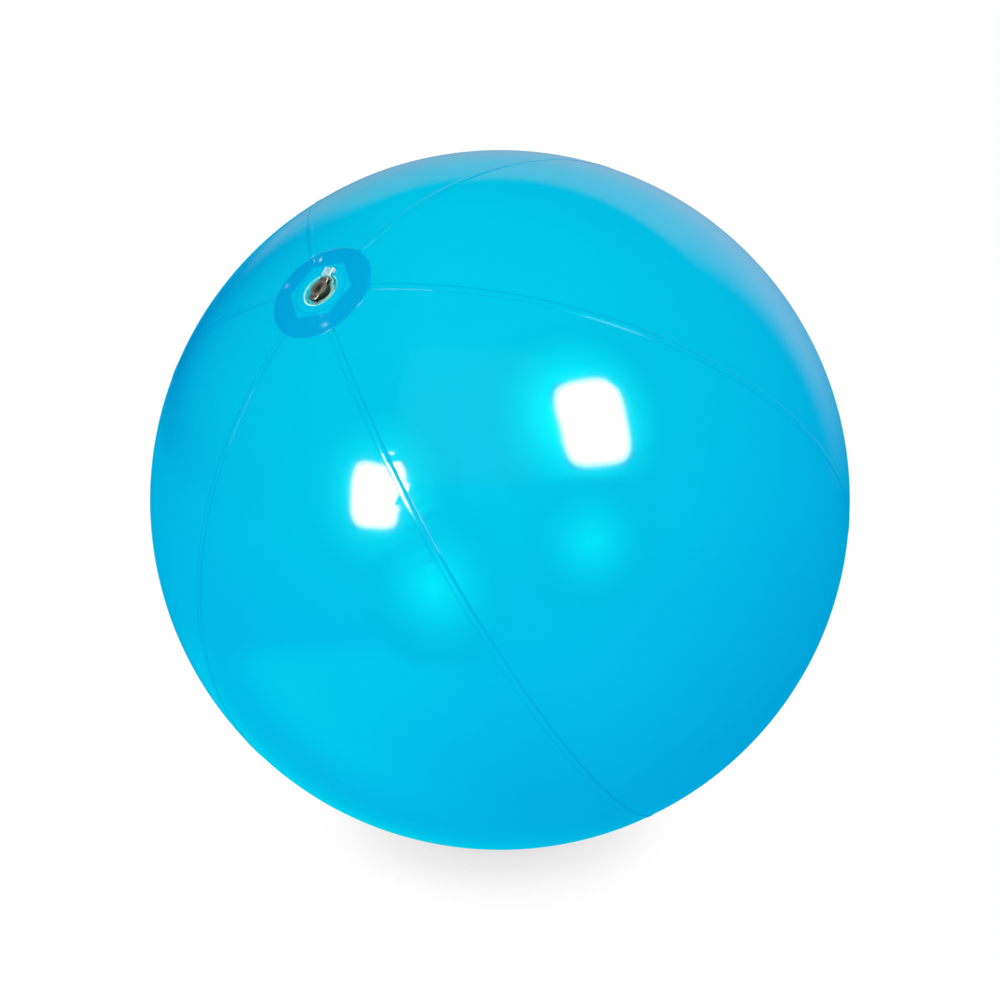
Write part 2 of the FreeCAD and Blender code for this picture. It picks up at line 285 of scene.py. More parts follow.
PANEL_ROWS = 420
PANEL_COLUMNS = 76
STRIP_COLUMNS = 12


def gore_panel(number):
    """One gore as it shows: the panel from pole to pole and its lap strip over the next gore."""
    seam = FIRST_SEAM + (number - 1) * GORE_ANGLE

    # The panel. Its two tips are cut straight, so each column has its own first and last angle.
    azimuth = GORE_ANGLE * crowded(PANEL_COLUMNS, 0.8)
    tip = np.arcsin(TIP_CUT / np.cos(azimuth - GORE_ANGLE / 2) / BALL_RADIUS)
    share = np.linspace(0.0, 1.0, PANEL_ROWS)[:, None]
    polar_angle = tip[None, :] + share * (math.pi - 2 * tip[None, :])
    points = on_sphere(polar_angle, seam + azimuth[None, :] + 0 * share)
    offset = film_offset(points)
    # Its two long edges lie on the seam planes, under the lap strips.
    panel = closed_sheet(lifted(points, offset), lifted(points, offset - FILM))
    panel_tone = np.zeros(len(panel[0]))

    # The lap strip, welded over the seam. Its edges are pressed thin.
    across = np.concatenate([
        np.linspace(-LAP_OVER, -LAP_OVER + 0.5 * MM, 4),
        np.linspace(-LAP_OVER + 0.5 * MM, LAP_UNDER - 0.5 * MM, STRIP_COLUMNS - 6)[1:-1],
        np.linspace(LAP_UNDER - 0.5 * MM, LAP_UNDER, 4)])
    start = np.arcsin(LAP_START / BALL_RADIUS)
    polar_angle = (start + share * (math.pi - 2 * start)) + 0 * across[None, :]
    strip_azimuth = seam + np.arcsin(across[None, :] / (BALL_RADIUS * np.sin(polar_angle)))
    points = on_sphere(polar_angle, strip_azimuth)
    offset = film_offset(points)
    from_edge = np.minimum(across + LAP_OVER, LAP_UNDER - across)
    thickness = FILM * (0.2 + 0.5 * smooth_step(from_edge, 0.0, 1.1 * MM))
    squeeze = 0.06 * MM * ripple(BALL_RADIUS * polar_angle, 3.1 * MM, number) * patches(
        BALL_RADIUS * polar_angle, 43.0 * MM, number + 3)
    middle = smooth_step(from_edge, 0.2 * MM, 2.0 * MM)
    strip = closed_sheet(
        lifted(points, offset + WELD_GAP + thickness + squeeze * middle),
        lifted(points, offset + WELD_GAP + 0 * squeeze))
    edge_tone = 1.0 - smooth_step(from_edge, 0.2 * MM, 0.6 * MM)
    side_share = np.where(across > 0.0 * MM, 0.75, 0.22)
    one_side = (0.03 + edge_tone * side_share)[None, :] + 0 * polar_angle
    strip_tone = np.concatenate([one_side.ravel(), one_side.ravel()])

    vertices = np.concatenate([panel[0], strip[0]])
    faces = np.concatenate([panel[1], strip[1] + len(panel[0])])
    node = "gore_panel_%d" % number
    tone = np.concatenate([panel_tone, strip_tone])
    piece = make_object(node + "_film", polar_to_row(vertices), faces, tone)
    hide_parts(node)
    return piece


def hexagon_distance(points):
    """How far polar points lie outside (+) or inside (-) the straight-cut ends of the gore tips."""
    distance = np.full(points.shape[:-1], -1.0)
    for gore in range(GORE_COUNT):
        middle = FIRST_SEAM + (gore + 0.5) * GORE_ANGLE
        reach = points[..., 0] * math.cos(middle) + points[..., 1] * math.sin(middle)
        distance = np.maximum(distance, reach)
    return distance - TIP_CUT


DISC_RINGS = 90
DISC_SEGMENTS = 360


def cover_disc(node, hole, over_valve):
    """A cover disc welded over the gore tips; under it the hexagon of the cut tips shows."""
    radius = np.concatenate([
        np.linspace(hole, DISC_RADIUS - 1.8 * MM, DISC_RINGS),
        np.linspace(DISC_RADIUS - 1.8 * MM, DISC_RADIUS, 10)[1:]])
    azimuth = np.linspace(0.0, math.tau, DISC_SEGMENTS, endpoint=False)
    polar_angle = np.arcsin(radius / BALL_RADIUS)[:, None] + 0 * azimuth[None, :]
    points = on_sphere(polar_angle, azimuth[None, :] + 0 * polar_angle)
    if over_valve:
        base = film_offset(points)
    else:
        base = film_offset(points * np.array([1.0, 1.0, -1.0]))
    outside_tips = smooth_step(hexagon_distance(points), -1.4 * MM, 0.4 * MM)
    from_edge = DISC_RADIUS - radius[:, None]
    around = azimuth[None, :] * DISC_RADIUS
    puckers = 0.06 * MM * ripple(around, 5.3 * MM, 4) * patches(around, 57.0 * MM, 2)
    puckers = puckers * np.exp(-np.maximum(from_edge - 1.2 * MM, 0.0) / (4.0 * MM))
    bead = np.exp(-((from_edge - 0.9 * MM) / (0.45 * MM)) ** 2)
    puckers = puckers + 0.20 * MM * bead * patches(around, 31.0 * MM, 7) ** 2
    sag = -0.16 * MM * (1.0 - outside_tips)
    if over_valve:
        flange = 1.0 - smooth_step(
            radius[:, None], FLANGE_RADIUS - 0.5 * MM, FLANGE_RADIUS + 0.7 * MM)
        sag = sag + 0.14 * MM * flange
    thickness = FILM * (0.08 + 0.80 * smooth_step(from_edge, 0.0, 1.6 * MM))
    height = base + WELD_GAP + sag + puckers
    tone = 0.95 * outside_tips * smooth_step(from_edge, -0.2 * MM, 0.35 * MM) + 0 * azimuth[None, :]
    if over_valve:
        ring = np.abs(radius - FLANGE_RADIUS)[:, None]
        tone = np.maximum(tone, 0.75 * (1.0 - smooth_step(ring, 0.1 * MM, 0.55 * MM)))
        # Painted shade: a dark ring at the hole's edge, in the gap round the stem's lip.
        lip = (radius - DISC_HOLE)[:, None]
        tone = np.maximum(tone, 0.8 * (1.0 - smooth_step(lip, 0.1 * MM, 0.7 * MM)))
    # The azimuth runs anticlockwise seen from outside, so the grid is listed from the rim inward.
    outer = lifted(points, height + thickness)[::-1]
    inner = lifted(points, height + 0 * thickness)[::-1]
    vertices, faces = closed_sheet(outer, inner, wrap=True)
    tone = tone[::-1].ravel()
    if not over_valve:
        vertices = vertices * np.array([1.0, -1.0, -1.0])
    piece = make_object(node + "_film", polar_to_row(vertices), faces, np.concatenate([tone, tone]))
    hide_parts(node)
    return piece


# --- turned parts and the strap ------------------------------------------------------------------

def rounded(profile, radius, closed):
    """A (radius, height) outline with its corners rounded by arcs of a few points."""
    result = []
    count = len(profile)
    for index, corner in enumerate(profile):
        corner = Vector(corner)
        if not closed and index in (0, count - 1):
            result.append(corner)
            continue
        before = Vector(profile[index - 1]) - corner
        after = Vector(profile[(index + 1) % count]) - corner
        trim = min(radius, 0.45 * before.length, 0.45 * after.length)
        first = corner + before.normalized() * trim
        last = corner + after.normalized() * trim
        for step in range(6):
            t = step / 5
            result.append(first * (1 - t) ** 2 + corner * 2 * t * (1 - t) + last * t ** 2)
    return result


def lathe(profile, segments, closed):
    """Vertices and faces of an outline turned about the pole axis.

    A closed outline makes a ring; an open one starts and ends on the axis.
    """
    radius = np.array([p[0] for p in profile])
    height = np.array([p[1] for p in profile])
    azimuth = np.linspace(0.0, math.tau, segments, endpoint=False)
    ring = np.stack([
        radius[:, None] * np.cos(azimuth)[None, :],
        radius[:, None] * np.sin(azimuth)[None, :],
        height[:, None] + 0 * azimuth[None, :]], axis=-1)
    if closed:
        ring = np.concatenate([ring, ring[:1]])
        faces = grid_faces(len(ring), segments, 0, False, True)
        count = (len(ring) - 1) * segments
        return ring[:-1].reshape(-1, 3), faces % count
    middle = ring[1:-1]
    vertices = np.concatenate([middle.reshape(-1, 3), ring[:1, 0], ring[-1:, 0]])
    faces = [tuple(f) for f in grid_faces(len(middle), segments, 0, False, True)]
    bottom, top = len(vertices) - 2, len(vertices) - 1
    last_row = (len(middle) - 1) * segments
    for i in range(segments):
        j = (i + 1) % segments
        faces.append((bottom, j, i))
        faces.append((top, last_row + i, last_row + j))
    return vertices, faces


def turned_piece(name, node, profile, corner, closed):
    """A turned piece that stands for a CAD node."""
    vertices, faces = lathe(rounded(profile, corner, closed), 128, closed)
    piece = make_object(name, polar_to_row(vertices), faces)
    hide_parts(node)
    return piece


def valve_stem():
    """The stem tube with the flat lip round its mouth, and a soft bead on the lip's rim."""
    bead = 0.22 * MM
    return turned_piece("stem_and_lip", "valve_stem", [
        (STEM_BORE, STEM_END),
        (STEM_RADIUS, STEM_END),
        (STEM_RADIUS, LIP_UNDER),
        (LIP_RADIUS, LIP_UNDER),
        (LIP_RADIUS, LIP_TOP),
        (LIP_RADIUS - 0.9 * MM, LIP_TOP),
        (LIP_RADIUS - 1.15 * MM, LIP_TOP - bead),
        (SKIRT_RADIUS + 0.05 * MM, LIP_TOP - bead),
        (SKIRT_RADIUS - 0.25 * MM, LIP_TOP),
        (STEM_BORE, LIP_TOP),
    ], 0.18 * MM, True)


def rounded_ring(half_length, half_width, corner, height, segments):
    """Points of a rectangle with round corners; the half sizes are to the corners' centres."""
    ring = []
    for step in range(segments):
        quarter, place = divmod(step, segments // 4)
        angle = math.tau * (quarter + place / (segments // 4 - 1)) / 4
        centre_x = half_length * (1, -1, -1, 1)[quarter]
        centre_y = half_width * (1, 1, -1, -1)[quarter]
        x = centre_x + corner * math.cos(angle)
        y = centre_y + corner * math.sin(angle)
        ring.append((x, y, height))
    return ring


def grip_bar():
    """The bar across the plug's boss, bevelled at the top, with a small pit in its middle."""
    bevel = 0.38 * MM
    segments = 64
    levels = [
        (0.15 * MM, GRIP_FLOOR), (0.0, GRIP_FLOOR + 0.15 * MM), (0.0, GRIP_TOP - bevel),
        (0.08 * MM, GRIP_TOP - 0.45 * bevel), (0.2 * MM, GRIP_TOP - 0.12 * bevel), (bevel, GRIP_TOP)]
    pit = [(1.15 * MM, 0.0), (0.95 * MM, 0.04 * MM), (0.85 * MM, 0.2 * MM), (0.7 * MM, 0.4 * MM)]
    rings = []
    for inset, height in levels:
        side = inset + GRIP_CORNER
        rings.extend(rounded_ring(
            GRIP_LENGTH / 2 - side, GRIP_WIDTH / 2 - side, GRIP_CORNER, height, segments))
    for radius, drop in pit:
        core = 0.1 * MM
        rings.extend(rounded_ring(core, core, radius - core, GRIP_TOP - drop, segments))
    count = len(levels) + len(pit)
    faces = [tuple(f) for f in grid_faces(count, segments, 0, False, True)]
    faces.append(tuple(range(segments))[::-1])
    faces.append(tuple(range((count - 1) * segments, count * segments)))
    rings = np.array(rings)
    level = np.repeat([0.0, 0.0, 0.1, 1.0, 1.0, 0.0] + [0.0] * len(pit), segments)
    # Painted light: the bevel on one long side is painted almost white as a highlight, the flat top
    # is painted grey as a lit face, and the pit stays dark as painted shade.
    highlight_side = smooth_step(-rings[:, 1], 0.2 * MM, 1.6 * MM)
    tone = level * np.minimum(0.35 + 0.8 * highlight_side, 1.0)
    top = slice((len(levels) - 1) * segments, (len(levels) + 1) * segments)
    tone[top] = 0.42
    return rings, faces, tone


def valve_plug():
    """The black stopper: tapered shaft, skirt, and a dimpled boss with a bar across it."""
    core, core_faces = lathe(rounded([
        (0.0, SKIRT_UNDER - SHAFT_LENGTH),
        (SHAFT_END_RADIUS, SKIRT_UNDER - SHAFT_LENGTH),
        (SHAFT_TOP_RADIUS, SKIRT_UNDER),
        (SKIRT_RADIUS, SKIRT_UNDER),
        (SKIRT_RADIUS, SKIRT_TOP - 0.3 * MM),
        (SKIRT_RADIUS - 0.5 * MM, SKIRT_TOP),
        (BOSS_RADIUS - 0.05 * MM, SKIRT_TOP),
        (BOSS_RADIUS, BOSS_TOP - 0.4 * MM),
        (BOSS_RADIUS - 0.35 * MM, BOSS_TOP),
        (2.9 * MM, BOSS_TOP),
        (2.75 * MM, BOSS_TOP - 0.3 * MM),
        (1.1 * MM, BOSS_TOP - 0.35 * MM),
        (0.8 * MM, BOSS_TOP - 0.65 * MM),
        (0.0, BOSS_TOP - 0.7 * MM),
    ], 0.2 * MM, False), 128, False)
    off_axis = np.hypot(core[:, 0], core[:, 1])
    # Painted light: the boss's top is painted grey as a lit face, lighter at its rim as a highlight,
    # and its dimple stays dark as painted shade.
    high = smooth_step(core[:, 2], BOSS_TOP - 0.75 * MM, BOSS_TOP - 0.36 * MM)
    rim = smooth_step(off_axis, 2.5 * MM, 3.0 * MM)
    core_tone = high * (0.40 + 0.28 * rim) * smooth_step(off_axis, 0.5 * MM, 1.2 * MM)
    bar, bar_faces, bar_tone = grip_bar()
    # The bar lies over the boss's dimple, and its painted light fades towards its own middle.
    near_boss = smooth_step(np.hypot(bar[:, 0], bar[:, 1]), 0.0, BOSS_RADIUS)
    vertices = np.concatenate([core, bar])
    faces = list(core_faces) + [tuple(int(i) + len(core) for i in f) for f in bar_faces]
    tone = np.concatenate([core_tone, bar_tone * (0.3 + 0.7 * near_boss)])
    turn = np.array(Matrix.Rotation(STRAP_ANGLE, 3, "Z"))
    piece = make_object("stopper", polar_to_row(vertices @ turn.T), faces, tone)
    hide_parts("valve_plug")
    return piece


def cup_rim_highlight(vertices):
    """Painted highlight: 1 on one side of the cup's rim, with flecks round it, fading down its wall.
    """
    azimuth = np.arctan2(vertices[:, 1], vertices[:, 0])
    level = smooth_step(vertices[:, 2], CUP_TOP - 1.2 * MM, CUP_TOP - 0.1 * MM)
    lit_side = np.exp(-((np.mod(azimuth, math.tau) - math.radians(248)) / math.radians(42)) ** 2)
    glint_flecks = smooth_step(np.sin(9 * azimuth + 2.0) * np.sin(4 * azimuth + 1.0), 0.1, 0.9)
    return level * np.minimum(lit_side + 0.3 * glint_flecks, 1.0)


def valve_diaphragm():
    """The soft folding wall between the flange and the stem, with three shallow pleats."""
    inner = CUP_RADIUS - CUP_WALL
    pleats = 3
    steps = 48
    outside, inside = [], []
    for step in range(steps + 1):
        share = step / steps
        height = CUP_BOTTOM + CUP_WALL + share * (CUP_TOP - CUP_BOTTOM - CUP_WALL)
        pinch = 0.22 * MM * (1.0 - math.cos(math.tau * pleats * share)) / 2
        outside.append((CUP_RADIUS - pinch, height))
        inside.append((inner - pinch, height))
    web = STEM_RADIUS + 0.05 * MM
    profile = [(web, CUP_BOTTOM), (CUP_RADIUS, CUP_BOTTOM)] + outside + inside[::-1] + [
        (web, CUP_BOTTOM + CUP_WALL)]
    vertices, faces = lathe(profile, 128, True)
    piece = make_object("folding_cup", polar_to_row(vertices), faces, cup_rim_highlight(vertices))
    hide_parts("valve_diaphragm")
    return piece


def strap_middle_line():
    """Points (out, height) along the middle of the strap's band, from the eyelet to the foot."""
    fold = STRAP_REACH - STRAP_THICKNESS / 2
    eyelet_height = EYELET_FLOOR + STRAP_THICKNESS / 2
    corners = [Vector(corner) for corner in (
        (BOSS_RADIUS + 0.6 * MM, eyelet_height),
        (STRAP_RISE, eyelet_height),
        (STRAP_RISE, STRAP_TOP_HEIGHT),
        (fold, STRAP_TOP_HEIGHT),
        (fold, STRAP_FOOT_HEIGHT),
        (STRAP_FOOT, STRAP_FOOT_HEIGHT))]
    points = [corners[0]]
    for before, corner, after in zip(corners, corners[1:], corners[2:]):
        first = corner + (before - corner).normalized() * STRAP_BEND
        last = corner + (after - corner).normalized() * STRAP_BEND
        run = first - points[-1]
        steps = max(2, int(run.length / (0.25 * MM)))
        points.extend([points[-1] + run * (i / steps) for i in range(1, steps)])
        for i in range(9):
            t = i / 8
            points.append(first * (1 - t) ** 2 + corner * 2 * t * (1 - t) + last * t ** 2)
    run = corners[-1] - points[-1]
    points.extend([points[-1] + run * (i / 4) for i in range(1, 5)])
    return points


def strap_band(line):
    """Vertices, faces and tone of the strap's flat band along a line of (out, height) points."""
    line = np.array(line)
    tangent = np.gradient(line, axis=0)
    tangent /= np.linalg.norm(tangent, axis=1)[:, None]
    normal = np.stack([-tangent[:, 1], tangent[:, 0]], axis=1)
    section = []
    steps = 28
    for step in range(steps):
        angle = math.tau * step / steps
        # A flat oval with full edges: a super-ellipse, dished a little along its middle.
        wide = math.copysign(abs(math.cos(angle)) ** 0.45, math.cos(angle))
        thick = math.copysign(abs(math.sin(angle)) ** 0.6, math.sin(angle))
        thick *= 0.62 + 0.38 * wide * wide
        section.append((wide * STRAP_WIDTH / 2, thick * STRAP_THICKNESS / 2))
    grid = np.zeros((len(line), steps, 3))
    for j, (wide, thick) in enumerate(section):
        grid[:, j, 0] = line[:, 0] + normal[:, 0] * thick
        grid[:, j, 1] = wide
        grid[:, j, 2] = line[:, 1] + normal[:, 1] * thick
    rows = len(line)
    faces = [tuple(f) for f in grid_faces(rows, steps, 0, True, True)]
    faces.append(tuple(range(steps)))
    faces.append(tuple(range((rows - 1) * steps, rows * steps))[::-1])
    # Painted highlight: the band's edges are painted whiter than the clear middle, as glints.
    from_middle = np.array([abs(wide) for wide, _ in section]) / (STRAP_WIDTH / 2)
    sideways = np.zeros((rows, steps)) + from_middle
    return grid.reshape(-1, 3), faces, smooth_step(sideways.ravel(), 0.66, 0.95)


def plug_strap():
    """The clear strap in two pieces that meet on its riser: the eyelet's end and the fold's end."""
    line = [tuple(point) for point in strap_middle_line()]
    cut = next(i for i, (out, height) in enumerate(line) if height > BALL_RADIUS + 0.3 * MM)
    inner, inner_faces, inner_tone = strap_band(line[:cut + 1])
    fold, fold_faces, fold_tone = strap_band(line[cut:])
    eyelet_hole = BOSS_RADIUS + 0.1 * MM
    eyelet, eyelet_faces = lathe(rounded([
        (eyelet_hole, EYELET_FLOOR),
        (EYELET_RADIUS, EYELET_FLOOR),
        (EYELET_RADIUS, EYELET_FLOOR + STRAP_THICKNESS),
        (eyelet_hole, EYELET_FLOOR + STRAP_THICKNESS),
    ], 0.2 * MM, True), 96, True)
    vertices = np.concatenate([inner, eyelet])
    faces = inner_faces + [tuple(int(i) + len(inner) for i in f) for f in eyelet_faces]
    tone = np.concatenate([inner_tone, np.zeros(len(eyelet))])
    turn = np.array(Matrix.Rotation(STRAP_ANGLE, 3, "Z"))
    head = make_object("strap_eyelet", polar_to_row(vertices @ turn.T), faces, tone)
    tail = make_object("strap_fold", polar_to_row(fold @ turn.T), fold_faces, fold_tone)
    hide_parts("plug_strap")
    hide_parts("plug_strap")
    return head, tail


# --- materials -----------------------------------------------------------------------------------

def new_material(name):
    """A node material and its Principled shader."""
    material = bpy.data.materials.new(name)
    material.use_nodes = True
    return material, material.node_tree.nodes["Principled BSDF"]


def noise(material, scale, detail=3.0, roughness=0.5):
    """A noise texture in object space, in cycles per metre."""
    nodes, links = material.node_tree.nodes, material.node_tree.links
    coordinates = nodes.new("ShaderNodeTexCoord")
    texture = nodes.new("ShaderNodeTexNoise")
    texture.inputs["Scale"].default_value = scale
    texture.inputs["Detail"].default_value = detail
    texture.inputs["Roughness"].default_value = roughness
    links.new(coordinates.outputs["Object"], texture.inputs["Vector"])
    return texture.outputs["Fac"]


def tone_value(material):
    """The number that make_object() stored for each vertex."""
    node = material.node_tree.nodes.new("ShaderNodeAttribute")
    node.attribute_name = "tone"
    return node.outputs["Fac"]


def remapped(material, value, low, high, to_low, to_high):
    """A value mapped from one range to another and clamped."""
    node = material.node_tree.nodes.new("ShaderNodeMapRange")
    limits = {"From Min": low, "From Max": high, "To Min": to_low, "To Max": to_high}
    for socket, number in limits.items():
        node.inputs[socket].default_value = number
    material.node_tree.links.new(value, node.inputs["Value"])
    return node.outputs["Result"]


def mixed_colour(material, factor, first, second):
    """A colour between two, by a factor; each is a colour or a socket."""
    node = material.node_tree.nodes.new("ShaderNodeMix")
    node.data_type = "RGBA"
    links = material.node_tree.links
    links.new(factor, node.inputs["Factor"])
    for socket, colour in ((node.inputs[6], first), (node.inputs[7], second)):
        if isinstance(colour, tuple):
            socket.default_value = colour + (1.0,)
        else:
            links.new(colour, socket)
    return node.outputs[2]


def bumped(material, shader, height, strength, distance):
    """Fine relief from a height value."""
    node = material.node_tree.nodes.new("ShaderNodeBump")
    node.inputs["Strength"].default_value = strength
    node.inputs["Distance"].default_value = distance
    material.node_tree.links.new(height, node.inputs["Height"])
    material.node_tree.links.new(node.outputs["Normal"], shader.inputs["Normal"])


def film_material():
    """Soft glossy PVC film, cyan; tone darkens it where two layers lie on each other, and as painted
    shade round the valve hole.
    """
    material, shader = new_material("pvc_film")
    links = material.node_tree.links
    tone = tone_value(material)
    cloud = remapped(material, noise(material, 14.0), 0.3, 0.7, 0.0, 1.0)
    single = mixed_colour(material, cloud, (0.0, 0.455, 0.800), (0.0, 0.475, 0.820))
    colour = mixed_colour(material, tone, single, (0.0, 0.318, 0.725))
    links.new(colour, shader.inputs["Base Color"])
    links.new(remapped(material, noise(material, 60.0), 0.3, 0.7, 0.30, 0.38),
              shader.inputs["Roughness"])
    shader.inputs["IOR"].default_value = 1.5
    shader.inputs["Specular IOR Level"].default_value = 0.0
    shader.inputs["Coat Weight"].default_value = 1.0
    shader.inputs["Coat Roughness"].default_value = 0.065
    bumped(material, shader, noise(material, 900.0, 2.0), 0.25, 0.02 * MM)
    return material


def clear_material():
    """Clear soft PVC of the valve moulding, with a cool tint and a faint haze; tone paints white
    highlights on it.
    """
    material, shader = new_material("clear_pvc")
    links = material.node_tree.links
    tone = tone_value(material)
    haze = remapped(material, noise(material, 350.0), 0.35, 0.65, 0.0, 1.0)
    colour = mixed_colour(material, haze, (0.30, 0.80, 0.92), (0.62, 0.93, 1.0))
    # Painted highlight: tone paints the strap's edges white and less clear.
    colour = mixed_colour(material, tone, colour, (0.98, 0.99, 1.0))
    links.new(colour, shader.inputs["Base Color"])
    links.new(remapped(material, tone, 0.0, 1.0, 0.40, 0.05),
              shader.inputs["Transmission Weight"])
    links.new(remapped(material, noise(material, 900.0), 0.3, 0.7, 0.05, 0.16),
              shader.inputs["Roughness"])
    shader.inputs["IOR"].default_value = 1.53
    bumped(material, shader, noise(material, 700.0, 2.0), 0.3, 0.03 * MM)
    return material


def cyan_lit_valve_material():
    """Clear moulding that lies against the film inside the ball, painted cyan for the light that
    comes through the film; tone paints a pale highlight on the cup's rim.
    """
    material, shader = new_material("clear_pvc_in_ball")
    links = material.node_tree.links
    haze = remapped(material, noise(material, 250.0), 0.35, 0.65, 0.0, 1.0)
    # Painted light: the moulding is painted cyan for the light that comes through the film.
    colour = mixed_colour(material, haze, (0.01, 0.60, 0.92), (0.12, 0.82, 1.0))
    tone = tone_value(material)
    # Painted highlight: tone whitens the cup's rim on one side.
    colour = mixed_colour(material, tone, colour, (0.75, 0.95, 1.0))
    links.new(colour, shader.inputs["Base Color"])
    links.new(remapped(material, noise(material, 900.0), 0.3, 0.7, 0.10, 0.22),
              shader.inputs["Roughness"])
    shader.inputs["IOR"].default_value = 1.53
    shader.inputs["Coat Weight"].default_value = 0.6
    shader.inputs["Coat Roughness"].default_value = 0.05
    bumped(material, shader, noise(material, 700.0, 2.0), 0.3, 0.03 * MM)
    return material


def plug_material():
    """Black moulded plastic, satin; tone is painted light: grey on the lit top faces, near white as
    a highlight on one bevel.
    """
    material, shader = new_material("black_plastic")
    links = material.node_tree.links
    tone = tone_value(material)
    grain = noise(material, 2600.0, 2.0)
    speckle = remapped(material, grain, 0.3, 0.7, 0.0, 1.0)
    dark = mixed_colour(material, speckle, (0.002, 0.0015, 0.001), (0.005, 0.004, 0.003))
    # Painted light: lit faces are painted grey, and the strongest tone a near-white highlight.
    lit_grey = mixed_colour(material, speckle, (0.150, 0.125, 0.100), (0.260, 0.230, 0.190))
    highlight_share = remapped(material, tone, 0.75, 1.0, 0.0, 1.0)
    lit_grey = mixed_colour(material, highlight_share, lit_grey, (0.90, 0.84, 0.76))
    links.new(mixed_colour(material, tone, dark, lit_grey), shader.inputs["Base Color"])
    links.new(remapped(material, noise(material, 800.0), 0.3, 0.7, 0.34, 0.50),
              shader.inputs["Roughness"])
    shader.inputs["Specular IOR Level"].default_value = 0.18
    bumped(material, shader, grain, 0.35, 0.03 * MM)
    return material


def paint(obj, material):
    """Give an object one material in every slot."""
    obj.data.materials.clear()
    obj.data.materials.append(material)


# --- the ball ------------------------------------------------------------------------------------

film = film_material()
clear = clear_material()
in_ball = cyan_lit_valve_material()
black = plug_material()

for gore_number in range(1, GORE_COUNT + 1):
    gore = gore_panel(gore_number)
    paint(gore, film)
    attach(gore, "ball")

for node, hole, over_valve in (("valve_disc", DISC_HOLE, True), ("base_disc", 0.4 * MM, False)):
    disc = cover_disc(node, hole, over_valve)
    paint(disc, film)
    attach(disc, "ball")

stem = valve_stem()
paint(stem, in_ball)
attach(stem, "stem")

plug = valve_plug()
paint(plug, black)
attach(plug, "plug")

cup = valve_diaphragm()
paint(cup, in_ball)
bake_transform(cup)

strap_head, strap_tail = plug_strap()
for piece in (strap_head, strap_tail):
    paint(piece, clear)
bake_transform(strap_tail)
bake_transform(strap_head)

paint(frame["nodes"]["valve_flange"], in_ball)
paint(frame["nodes"]["check_flap"], in_ball)


# --- studio --------------------------------------------------------------------------------------

VIEW_AZIMUTH = math.radians(33.2)
VIEW_ELEVATION = math.radians(12.4)
VIEW_DISTANCE = 3.5 * BALL_RADIUS
BALL_SHARE_OF_FRAME = 0.70


def direction(azimuth, elevation):
    """Unit vector from the ball: azimuth 0 is -Y and grows towards +X, in radians."""
    return Vector((
        math.sin(azimuth) * math.cos(elevation),
        -math.cos(azimuth) * math.cos(elevation),
        math.sin(elevation)))


TO_CAMERA = direction(VIEW_AZIMUTH, VIEW_ELEVATION)


def aim(obj, target):
    """Point an object's -Z at a target, with +Y up."""
    obj.rotation_euler = (Vector(target) - obj.location).to_track_quat("-Z", "Y").to_euler()


def camera():
    """The camera looks at the ball's centre, and the ball fills its share of the square frame."""
    data = bpy.data.cameras.new("camera")
    half_angle = math.asin(BALL_RADIUS / VIEW_DISTANCE)
    data.sensor_width = 36.0
    data.lens = data.sensor_width / 2 * BALL_SHARE_OF_FRAME / math.tan(half_angle)
    data.clip_start = 0.01
    obj = bpy.data.objects.new("camera", data)
    obj.location = CENTRE + TO_CAMERA * VIEW_DISTANCE
    aim(obj, CENTRE)
    bpy.context.scene.collection.objects.link(obj)
    bpy.context.scene.camera = obj


def emitter(name, colour, strength, soft=False, soft_rim=0.0):
    """An emission material; soft fades out from its middle, soft_rim only over its outer share."""
    material = bpy.data.materials.new(name)
    material.use_nodes = True
    nodes, links = material.node_tree.nodes, material.node_tree.links
    nodes.clear()
    output = nodes.new("ShaderNodeOutputMaterial")
    emission = nodes.new("ShaderNodeEmission")
    emission.inputs["Color"].default_value = colour + (1.0,)
    emission.inputs["Strength"].default_value = strength
    links.new(emission.outputs["Emission"], output.inputs["Surface"])
    if soft:
        coordinates = nodes.new("ShaderNodeTexCoord")
        gradient = nodes.new("ShaderNodeTexGradient")
        gradient.gradient_type = "QUADRATIC_SPHERE"
        level = nodes.new("ShaderNodeMath")
        level.operation = "MULTIPLY"
        level.inputs[1].default_value = strength
        links.new(coordinates.outputs["Object"], gradient.inputs["Vector"])
        links.new(gradient.outputs["Fac"], level.inputs[0])
        links.new(level.outputs["Value"], emission.inputs["Strength"])
    if soft_rim:
        coordinates = nodes.new("ShaderNodeTexCoord")
        parts = nodes.new("ShaderNodeSeparateXYZ")
        links.new(coordinates.outputs["Object"], parts.inputs["Vector"])
        total = nodes.new("ShaderNodeMath")
        total.operation = "ADD"
        for number, axis in enumerate(("X", "Y")):
            power = nodes.new("ShaderNodeMath")
            power.operation = "POWER"
            power.inputs[1].default_value = 4.0
            links.new(parts.outputs[axis], power.inputs[0])
            links.new(power.outputs["Value"], total.inputs[number])
        links.new(remapped(material, total.outputs["Value"], 1.0, 1.0 - soft_rim, 0.0, strength),
                  emission.inputs["Strength"])
    return material


